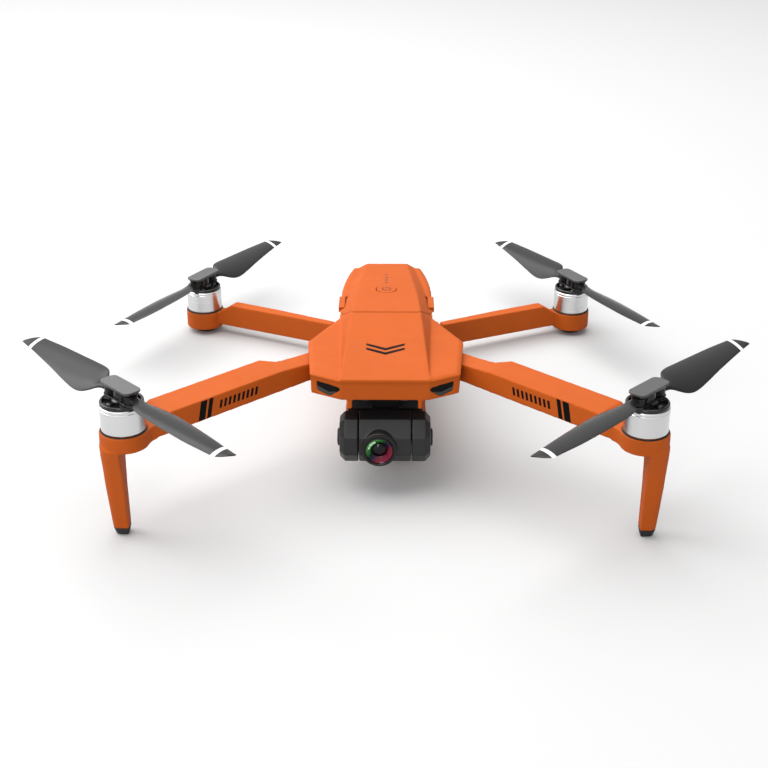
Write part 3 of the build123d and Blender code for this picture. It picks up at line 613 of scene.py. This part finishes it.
def blade_rings(reach):
    """Sections of one blade along +x, as (x, y, z) in millimetres, leading edge towards +y."""
    root = BLADE_FORM[0][0] * reach
    body_end = reach - TIP_CURVE
    places = [root + (body_end - root) * step / BLADE_BODY_STEPS for step in range(BLADE_BODY_STEPS + 1)]
    places += [body_end + TIP_CURVE * sin(pi / 2 * step / TIP_STEPS) for step in range(1, TIP_STEPS)]
    rings = []
    for x in places:
        lead, trail, pitch, thick = eased(BLADE_FORM, x / reach)
        if x > body_end:
            share = (x - body_end) / TIP_CURVE
            lead = -trail + (lead + trail) * (1 - share * share) ** 0.5
        rise = tan(radians(pitch))
        ring = []
        for face in (1, -1):
            for step in range(HALF_CHORD_POINTS):
                turn = pi * step / HALF_CHORD_POINTS
                if face < 0:
                    turn += pi
                chord = (lead - trail) / 2 + (lead + trail) / 2 * cos(turn)
                camber = rise * chord - BLADE_BOW * chord * chord
                skin_height = thick * sin(turn) * (0.55 + 0.45 * abs(sin(turn)))
                ring.append((x, chord, camber + skin_height))
        rings.append(ring)
    return rings


BLADE_EYE = ((1.3, -1.6), (3.2, -1.6), (3.2, 1.6), (1.3, 1.6))


def add_blade(place, side, letter, sense):
    """One blade with its white stripe and its pin eye; sense tells which way the rotor turns."""
    node = f"{place}_{side}_blade_{letter}"
    hub = joint_place(f"{place}_left_spin")
    pin = joint_place(f"{place}_left_blade_{letter}_fold")
    out = Vector((pin.x - hub.x, pin.y - hub.y, 0)).normalized()
    ahead = Vector((-out.y, out.x, 0)) * sense
    cad_points = NODES[f"{place}_left_blade_{letter}"].data.vertices
    reach = max((Vector(point.co).xy - hub.xy).length for point in cad_points) / MM
    basis = Matrix((out, ahead, (0, 0, 1))).transposed().to_4x4()
    basis.translation = (hub.x, hub.y, pin.z)
    build = bmesh.new()
    skin(build, [[basis @ (Vector(point) * MM) for point in ring] for ring in blade_rings(reach)])
    lead, trail = eased(BLADE_FORM, 0.9)[:2]
    normal = (out * (lead + trail) - ahead * STRIPE_LEAN).normalized()
    corner = basis @ (Vector((reach - STRIPE_FROM_TIP, lead, 0)) * MM)
    for cut in (corner, corner + normal * (STRIPE_WIDTH * MM)):
        geometry = build.verts[:] + build.edges[:] + build.faces[:]
        bmesh.ops.bisect_plane(build, geom=geometry, plane_co=cut, plane_no=normal, dist=1e-7)
    for face in build.faces:
        depth = (face.calc_center_median() - corner).dot(normal)
        face.material_index = 1 if 0 < depth < STRIPE_WIDTH * MM else 0
    lathe(build, Matrix.Translation(pin), BLADE_EYE, closed=True, sides=40)
    if side == "right":
        mirror_over(build)
    materials = [MATERIALS["blade_plastic"], MATERIALS["white_print"]]
    add_piece(node + "_skin", build, body_named(node), materials, [node])


# outlines of turned parts as (radius, height above the bell) in millimetres
HUB_RING = (
    (0, 0.02), (9.2, 0.02), (9.5, 0.3), (9.5, 1.4), (9.1, 1.8),
    (8.5, 1.8), (8.2, 1.5), (8.0, 0.5), (0, 0.5),
)
HUB_BOSS = ((4.4, 0.3), (4.4, 1.9), (3.4, 2.7), (3.0, 6.68), (0, 6.68), (0, 0.3))
HUB_DOME = ((1.7, 0.4), (1.65, 1.0), (1.3, 1.6), (0.7, 1.95), (0, 2.05), (0, 0.4))
HUB_POST = ((0, 2.6), (1.2, 2.6), (1.2, 6.7), (0, 6.7))
HUB_SPOKE = ((3.5, -1.5), (8.3, -1.0), (8.3, 1.0), (3.5, 1.5))
SPOKES = 3
DOME_AT = 6.2
PIN_AT = 7.0
CARRIER_HALF_WIDTH = 3.6


def slot_outline(half_length, radius, steps):
    """Round-ended slot along x."""
    outline = []
    for end in (1, -1):
        for step in range(steps + 1):
            turn = -end * pi / 2 + pi * step / steps
            outline.append((end * half_length + radius * cos(turn), radius * sin(turn)))
    return outline


def rotor_frame(place, height):
    """Frame on the left motor's axis at a height, with x towards the pin of blade a."""
    hub = joint_place(f"{place}_left_spin")
    pin = joint_place(f"{place}_left_blade_a_fold")
    turn = atan2(pin.y - hub.y, pin.x - hub.x)
    return Matrix.Translation((hub.x, hub.y, height)) @ Matrix.Rotation(turn, 4, "Z")


def add_hub(place, side):
    """Black propeller mount: ring, boss, spokes with domes between them, and the blade carrier."""
    node = f"{place}_{side}_prop_hub"
    on_bell = rotor_frame(place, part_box(f"{place}_left_bell")[1][2])
    build = bmesh.new()
    lathe(build, on_bell, HUB_RING)
    lathe(build, on_bell, HUB_BOSS, closed=True)
    for spoke in range(SPOKES):
        arm = on_bell @ Matrix.Rotation(2 * pi * spoke / SPOKES + pi / 6, 4, "Z")
        prism(build, arm, HUB_SPOKE, 0.4, 1.75)
        dome = arm @ Matrix.Rotation(pi / SPOKES, 4, "Z") @ Matrix.Translation((DOME_AT * MM, 0, 0))
        lathe(build, dome, HUB_DOME, closed=True, sides=28)
    prism(build, on_bell, slot_outline(PIN_AT, CARRIER_HALF_WIDTH, ARC_STEPS), 1.7, 2.7)
    for end in (PIN_AT, -PIN_AT):
        lathe(build, on_bell @ Matrix.Translation((end * MM, 0, 0)), HUB_POST, sides=24)
    if side == "right":
        mirror_over(build)
    bmesh.ops.remove_doubles(build, verts=build.verts, dist=WELD_GAP / 2)
    materials = [MATERIALS["hub_black"]]
    piece = add_piece(node + "_detail", build, body_named(node), materials, [node])
    round_edges(piece, 0.12)


BELL_BORE = 7.4


def add_bell(place, side):
    """Turned motor bell with eased edges and a fine groove under its top edge."""
    node = f"{place}_{side}_bell"
    hub = joint_place(f"{place}_left_spin")
    low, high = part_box(f"{place}_left_bell")
    radius = (high[0] - low[0]) / 2 / MM
    top = Matrix.Translation((hub.x, hub.y, high[2]))
    skirt = (low[2] - high[2]) / MM
    profile = (
        (BELL_BORE, skirt), (radius - 0.3, skirt), (radius, skirt + 0.3), (radius, -1.75),
        (radius - 0.15, -1.6), (radius - 0.15, -1.4), (radius, -1.25), (radius, -0.35),
        (radius - 0.35, 0), (0.01, 0), (0.01, -1.2), (BELL_BORE, -1.2),
    )
    build = bmesh.new()
    lathe(build, top, profile, closed=True, sides=120)
    if side == "right":
        mirror_over(build)
    add_piece(node + "_turned", build, body_named(node), [MATERIALS["silver_bell"]], [node])


QUARTER_STEPS = 6


def rounded_rectangle(half_length, half_width, corner):
    outline = []
    for x_way, y_way, first in ((1, 1, 0), (-1, 1, 90), (-1, -1, 180), (1, -1, 270)):
        for step in range(QUARTER_STEPS + 1):
            turn = radians(first + 90 * step / QUARTER_STEPS)
            x = x_way * (half_length - corner) + corner * cos(turn)
            y = y_way * (half_width - corner) + corner * sin(turn)
            outline.append((x, y))
    return outline


CAP_CORNER = 2.6
CAP_PLATE_THICKNESS = 0.9


def add_hub_cap(place, side):
    """Light grey cover plate over a darker, slightly smaller block."""
    node = f"{place}_{side}_hub_cap"
    low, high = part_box(f"{place}_left_hub_cap")
    on_hub = rotor_frame(place, low[2])
    height = (high[2] - low[2]) / MM
    step = height - CAP_PLATE_THICKNESS
    for part, half_length, half_width, bottom, top, material, replaced in (
        ("plate", 10.5, 4.3, step, height, "cap_grey", [node]),
        ("block", 9.9, 3.7, 0.02, step, "hub_black", []),
    ):
        build = bmesh.new()
        prism(build, on_hub, rounded_rectangle(half_length, half_width, CAP_CORNER), bottom, top)
        if side == "right":
            mirror_over(build)
        name = f"{node}_{part}"
        piece = add_piece(name, build, body_named(node), [MATERIALS[material]], replaced)
        round_edges(piece, 0.2)


GAP_RING = ((9.3, -0.2), (10.25, -0.2), (10.25, 0.12), (9.3, 0.12))


def add_gap_ring(place, side):
    """Dark line where the turning bell stands over the pod."""
    hub = joint_place(f"{place}_left_spin")
    build = bmesh.new()
    seat = Matrix.Translation((hub.x, hub.y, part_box(f"{place}_left_stator")[0][2]))
    lathe(build, seat, GAP_RING, closed=True)
    if side == "right":
        mirror_over(build)
    ring_material = [MATERIALS["foot_rubber"]]
    add_piece(f"{place}_{side}_gap_ring", build, f"{place}_{side}_arm", ring_material)


def build_rotors():
    for place, sense in (("front", -1), ("rear", 1)):
        for side in ("left", "right"):
            add_hub(place, side)
            add_hub_cap(place, side)
            add_bell(place, side)
            add_gap_ring(place, side)
            for letter in ("a", "b"):
                add_blade(place, side, letter, sense)


# ---- printed marks -----------------------------------------------------------------------------
PRINT_PROUD = 0.05
PRINT_DEPTH = 0.4
BARS = ((34.2, 3.5), (38.8, 2.2))
BAR_HEIGHTS = (45.5, 54.5)
BAR_LEAN = 1.9
TICKS = 9
FIRST_TICK = 45.8
TICK_PITCH = 2.5
TICK_WIDTH = 1.3
TICK_HEIGHTS = (48.2, 52.0)
TICK_LEAN = 0.8


def leaning_mark(build, face, start, width, heights, lean):
    low, high = heights
    outline = [(start, low), (start + width, low), (start + width + lean, high), (start + lean, high)]
    prism(build, face, outline, -PRINT_DEPTH, PRINT_PROUD)


def arm_marks(side):
    """Two leaning bars and a row of short ticks on the front face of the front arm."""
    build = bmesh.new()
    face = arm_frame() @ Matrix.Translation((0, -ARM_FRONT * MM, 0)) @ Matrix.Rotation(pi / 2, 4, "X")
    for start, width in BARS:
        leaning_mark(build, face, start, width, BAR_HEIGHTS, BAR_LEAN)
    for tick in range(TICKS):
        leaning_mark(build, face, FIRST_TICK + TICK_PITCH * tick, TICK_WIDTH, TICK_HEIGHTS, TICK_LEAN)
    if side == "right":
        mirror_over(build)
    arm = f"front_{side}_arm"
    add_piece(f"{arm}_marks", build, arm, [MATERIALS["black_print"]])


def surface_of(node):
    mesh = NODES[node].data
    return BVHTree.FromPolygons([v.co for v in mesh.vertices], [p.vertices for p in mesh.polygons])


ABOVE_ALL = 0.2


def draped(build, surface, outline):
    """Thin print that follows the surface below an outline."""
    down = Vector((0, 0, -1))
    points = [surface.ray_cast(Vector((x * MM, y * MM, ABOVE_ALL)), down)[0] for x, y in outline]
    lifts = [Vector((0, 0, lift * MM)) for lift in (-PRINT_DEPTH, PRINT_PROUD)]
    skin(build, [[point + lift for point in points] for lift in lifts])


CHEVRON_TIPS = (-60.0, -56.0)
CHEVRON_HALF = 9.0


def nose_marks():
    """Two nested arrow heads that show which end is the front."""
    build = bmesh.new()
    canopy = surface_of("upper_canopy")
    for tip in CHEVRON_TIPS:
        for end in (-CHEVRON_HALF, CHEVRON_HALF):
            draped(build, canopy, [(0, tip), (0, tip + 2.2), (end, tip + 6.6), (end, tip + 4.8)])
    add_piece("nose_marks", build, "body", [MATERIALS["black_print"]])


def arc_band(first, last, inner, outer, steps):
    """Flat band between two radii, from one angle in degrees to another."""
    turns = [radians(first + (last - first) * step / steps) for step in range(steps + 1)]
    outline = [(outer * cos(turn), outer * sin(turn)) for turn in turns]
    outline += [(inner * cos(turn), inner * sin(turn)) for turn in turns[::-1]]
    return outline


def power_mark():
    """The usual open ring with a bar, and nothing else."""
    build = bmesh.new()
    centre = box_centre("power_button")
    top = Matrix.Translation((centre.x, centre.y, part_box("power_button")[1][2]))
    prism(build, top, arc_band(120, 420, 1.8, 2.3, 24), -PRINT_DEPTH, PRINT_PROUD)
    prism(build, top, [(-0.25, 0.5), (0.25, 0.5), (0.25, 2.7), (-0.25, 2.7)], -PRINT_DEPTH, PRINT_PROUD)
    add_piece("power_mark", build, "power_button", [MATERIALS["brown_print"]])


def build_marks():
    for side in ("left", "right"):
        arm_marks(side)
    nose_marks()
    power_mark()


# ---- camera ------------------------------------------------------------------------------------
# outlines of turned parts as (radius, distance in front of the glass) in millimetres
LENS_PROFILE = (
    (0, -6.5), (6.45, -6.5), (6.45, 0.55), (6.2, 0.75), (5.6, 0.45), (4.4, -0.5), (3.5, -1.3), (3.2, -2.0),
    (2.95, -2.0), (2.8, -1.4), (2.2, -1.05), (1.2, -0.8), (0, -0.75),
)
# black bezel round the lens; its flange out to 7.95 mm is painted shade for the dark recess round the lens
BEZEL_SHADE_RING_PROFILE = (
    (6.45, -6.5), (7.0, -6.5), (7.0, -0.2), (7.95, -0.35), (7.95, 0.1),
    (6.95, 0.25), (6.85, 0.9), (6.6, 1.1), (6.45, 0.9),
)
# mint panes of painted reflection on the lens, where bright windows are mirrored
# first and last angle in degrees, inner and outer radius
REFLECTIONS = ((112, 132, 4.0, 5.3), (134, 152, 4.1, 5.4), (156, 172, 4.4, 5.2))
GLASS_SLOPE = 0.55
GLASS_DROP = 2.75


def add_lens():
    """Stepped lens: coated outer element with painted reflection colours, black inner barrel, a small dark
    front element, mint panes of painted reflection, and a black bezel whose outer flange is painted shade.
    """
    centre = box_centre("lens_glass")
    at_glass = Matrix.Translation((centre.x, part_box("lens_glass")[0][1], centre.z))
    front = at_glass @ Matrix.Rotation(pi / 2, 4, "X")
    camera = body_named("lens_glass")
    build = bmesh.new()
    lathe(build, front, LENS_PROFILE, sides=96)
    bmesh.ops.remove_doubles(build, verts=build.verts, dist=WELD_GAP / 2)
    add_piece("lens_stack", build, camera, [MATERIALS["lens_coating"]], ["lens_glass"])
    build = bmesh.new()
    for first, last, inner, outer in REFLECTIONS:
        pane = arc_band(first, last, inner, outer, QUARTER_STEPS)
        heights = [GLASS_SLOPE * (x * x + y * y) ** 0.5 - GLASS_DROP for x, y in pane]
        layers = []
        for lift in (-0.1, 0.06):
            points = [Vector((x, y, height + lift)) for (x, y), height in zip(pane, heights)]
            layers.append([front @ (point * MM) for point in points])
        skin(build, layers)
    add_piece("lens_reflections", build, camera, [MATERIALS["mint_glint"]])
    build = bmesh.new()
    lathe(build, front, BEZEL_SHADE_RING_PROFILE, closed=True, sides=96)
    bezel_body = body_named("lens_ring")
    add_piece("lens_bezel_shade_ring", build, bezel_body, [MATERIALS["black_gloss"]], ["lens_ring"])


# ---- latches and gimbal bay --------------------------------------------------------------------
SLIDER_END_GAP = 0.3
SLIDER_SIDE_GAP = 0.15
GROOVE_DEPTH = 0.4
GROOVE_HALF = 0.45
GROOVES = (-5.0, -2.5, 0.0, 2.5, 5.0)


def slider_outline(low, high):
    """Ribbed outline of the left latch slider inside its CAD box."""
    outer = low.x
    inner = high.x - SLIDER_SIDE_GAP
    front = low.y + SLIDER_END_GAP
    back = high.y - SLIDER_END_GAP
    floor = outer + GROOVE_DEPTH
    outline = [(inner, front), (floor, front), (outer, front + GROOVE_DEPTH)]
    for step in GROOVES:
        near = (front + back) / 2 + step - GROOVE_HALF
        far = near + 2 * GROOVE_HALF
        outline += [(outer, near), (floor, near), (floor, far), (outer, far)]
    outline += [(outer, back - GROOVE_DEPTH), (floor, back), (inner, back)]
    return outline


def release_sliders():
    """Latch sliders, a little shorter than their slots so that they run clear of the lid."""
    low, high = (Vector(corner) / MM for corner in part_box("left_release_button"))
    for side in ("left", "right"):
        node = f"{side}_release_button"
        build = bmesh.new()
        prism(build, Matrix.Identity(4), slider_outline(low, high), low.z, high.z)
        if side == "right":
            mirror_over(build)
        materials = [MATERIALS["button_plastic"]]
        name = f"{side}_release_slider"
        piece = add_piece(name, build, body_named(node), materials, [node])
        round_edges(piece, 0.15)


POCKET_REACH = 2.2
POCKET_MARGIN = 0.8
POCKET_DROP = 0.15
POCKET_THICKNESS = 0.3


def latch_pockets():
    """Floors of the pockets that the latch sliders are pressed into."""
    low, high = (Vector(corner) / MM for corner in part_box("left_release_button"))
    outline = block_outline(low.x, high.x + POCKET_REACH, low.y - POCKET_MARGIN, high.y + POCKET_MARGIN)
    top = low.z - POCKET_DROP
    for side in ("left", "right"):
        build = bmesh.new()
        prism(build, Matrix.Identity(4), outline, top - POCKET_THICKNESS, top)
        if side == "right":
            mirror_over(build)
        materials = [MATERIALS["battery_shell"]]
        add_piece(f"{side}_latch_pocket", build, "battery", materials)


# black panel of painted shade in the gimbal bay behind the camera
SHADE_PANEL_HALF = 16.8
SHADE_PANEL_LOW = 6.0
SHADE_PANEL_HIGH = 42.8
SHADE_PANEL_PROUD = 0.4
SHADE_PANEL_SUNK = 0.6
WALL_PROBE_Z = 36.0


def gimbal_bay_shade_panel():
    """Black panel on the front wall of the hull, behind the camera: painted shade that stands for the dark of
    the gimbal bay.
    """
    start = Vector((0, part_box("gimbal_yoke")[1][1], WALL_PROBE_Z * MM))
    wall = surface_of("lower_hull").ray_cast(start, Vector((0, 1, 0)))[0].y / MM
    outline = block_outline(-SHADE_PANEL_HALF, SHADE_PANEL_HALF, wall - SHADE_PANEL_PROUD, wall + SHADE_PANEL_SUNK)
    build = bmesh.new()
    prism(build, Matrix.Identity(4), outline, SHADE_PANEL_LOW, SHADE_PANEL_HIGH)
    add_piece("gimbal_bay_shade_panel", build, "body", [MATERIALS["black_plastic"]])


# ---- stage, light and camera -------------------------------------------------------------------
FLOOR_HALF = 6.0
FLOOR_DROP = 0.0002
FLOOR_GREY = 0.46


def build_stage():
    mesh = bpy.data.meshes.new("floor")
    build = bmesh.new()
    bmesh.ops.create_grid(build, x_segments=2, y_segments=2, size=FLOOR_HALF)
    build.to_mesh(mesh)
    build.free()
    floor = bpy.data.objects.new("floor", mesh)
    bpy.context.scene.collection.objects.link(floor)
    floor.location.z = -FLOOR_DROP
    material, _, shader = new_material("studio_floor")
    shader.inputs["Base Color"].default_value = (*grey(FLOOR_GREY), 1)
    shader.inputs["Roughness"].default_value = 0.9
    shader.inputs["Specular IOR Level"].default_value = 0.1
    mesh.materials.append(material)


def soft_light(name, place, target, size, power):
    lamp = bpy.data.lights.new(name, "AREA")
    lamp.shape = "RECTANGLE"
    lamp.size = size[0]
    lamp.size_y = size[1]
    lamp.energy = power
    holder = bpy.data.objects.new(name, lamp)
    bpy.context.scene.collection.objects.link(holder)
    holder.location = place
    direction = Vector(target) - Vector(place)
    holder.rotation_euler = direction.to_track_quat("-Z", "Y").to_euler()


# brightness of the surroundings from the horizon (0) to straight up (1)
SKY_LIGHT = ((0.0, 0.55), (0.8, 1.2))
# brightness of the surroundings from the left side (0) round to the right side (1)
SIDE_LIGHT = ((0.0, 0.75), (0.16, 1.2), (0.6, 1.05), (0.85, 0.72), (1.0, 0.45))


def build_lights():
    world = bpy.data.worlds.new("studio")
    bpy.context.scene.world = world
    world.use_nodes = True
    tree = world.node_tree
    background = tree.nodes["Background"]
    direction = tree.nodes.new("ShaderNodeTexCoord")
    split = tree.nodes.new("ShaderNodeSeparateXYZ")
    tree.links.new(direction.outputs["Generated"], split.inputs["Vector"])
    sky = grey_bands(tree, split.outputs["Z"], SKY_LIGHT)
    side = arithmetic(tree, "MULTIPLY_ADD", split.outputs["X"], 0.5, 0.5)
    sides = grey_bands(tree, side, SIDE_LIGHT)
    tree.links.new(multiplied(tree, sky, sides), background.inputs["Color"])
    background.inputs["Strength"].default_value = 1.0
    soft_light("top_softbox", (-0.35, 0.35, 1.2), (0, 0, 0), (1.7, 1.7), 27.0)
    soft_light("left_softbox", (-1.1, 0.25, 0.8), (0, 0, 0.04), (0.9, 0.9), 7.5)
    soft_light("front_strip", (-0.25, -1.3, 0.4), (0, 0, 0.04), (0.35, 0.8), 5.0)


CAMERA_DISTANCE = 0.7542
CAMERA_PITCH = radians(25.39)
CAMERA_AZIMUTH = radians(0.48)
CAMERA_TARGET = Vector((-0.0011, -0.0055, 0.0185))
SENSOR_WIDTH = 36.0
FOCAL_OVER_WIDTH = 1.93034


def build_camera():
    lens = bpy.data.cameras.new("camera")
    lens.sensor_width = SENSOR_WIDTH
    lens.lens = SENSOR_WIDTH * FOCAL_OVER_WIDTH
    lens.clip_start = 0.01
    camera = bpy.data.objects.new("camera", lens)
    bpy.context.scene.collection.objects.link(camera)
    level = cos(CAMERA_PITCH)
    offset = Vector((sin(CAMERA_AZIMUTH) * level, -cos(CAMERA_AZIMUTH) * level, sin(CAMERA_PITCH)))
    camera.location = CAMERA_TARGET + offset * CAMERA_DISTANCE
    camera.rotation_euler = (-offset).to_track_quat("-Z", "Y").to_euler()
    bpy.context.scene.camera = camera
    bpy.context.scene.view_settings.view_transform = "Standard"


dress_cad_nodes()
build_shells()
build_rotors()
build_marks()
add_lens()
release_sliders()
latch_pockets()
gimbal_bay_shade_panel()
build_stage()
build_lights()
build_camera()
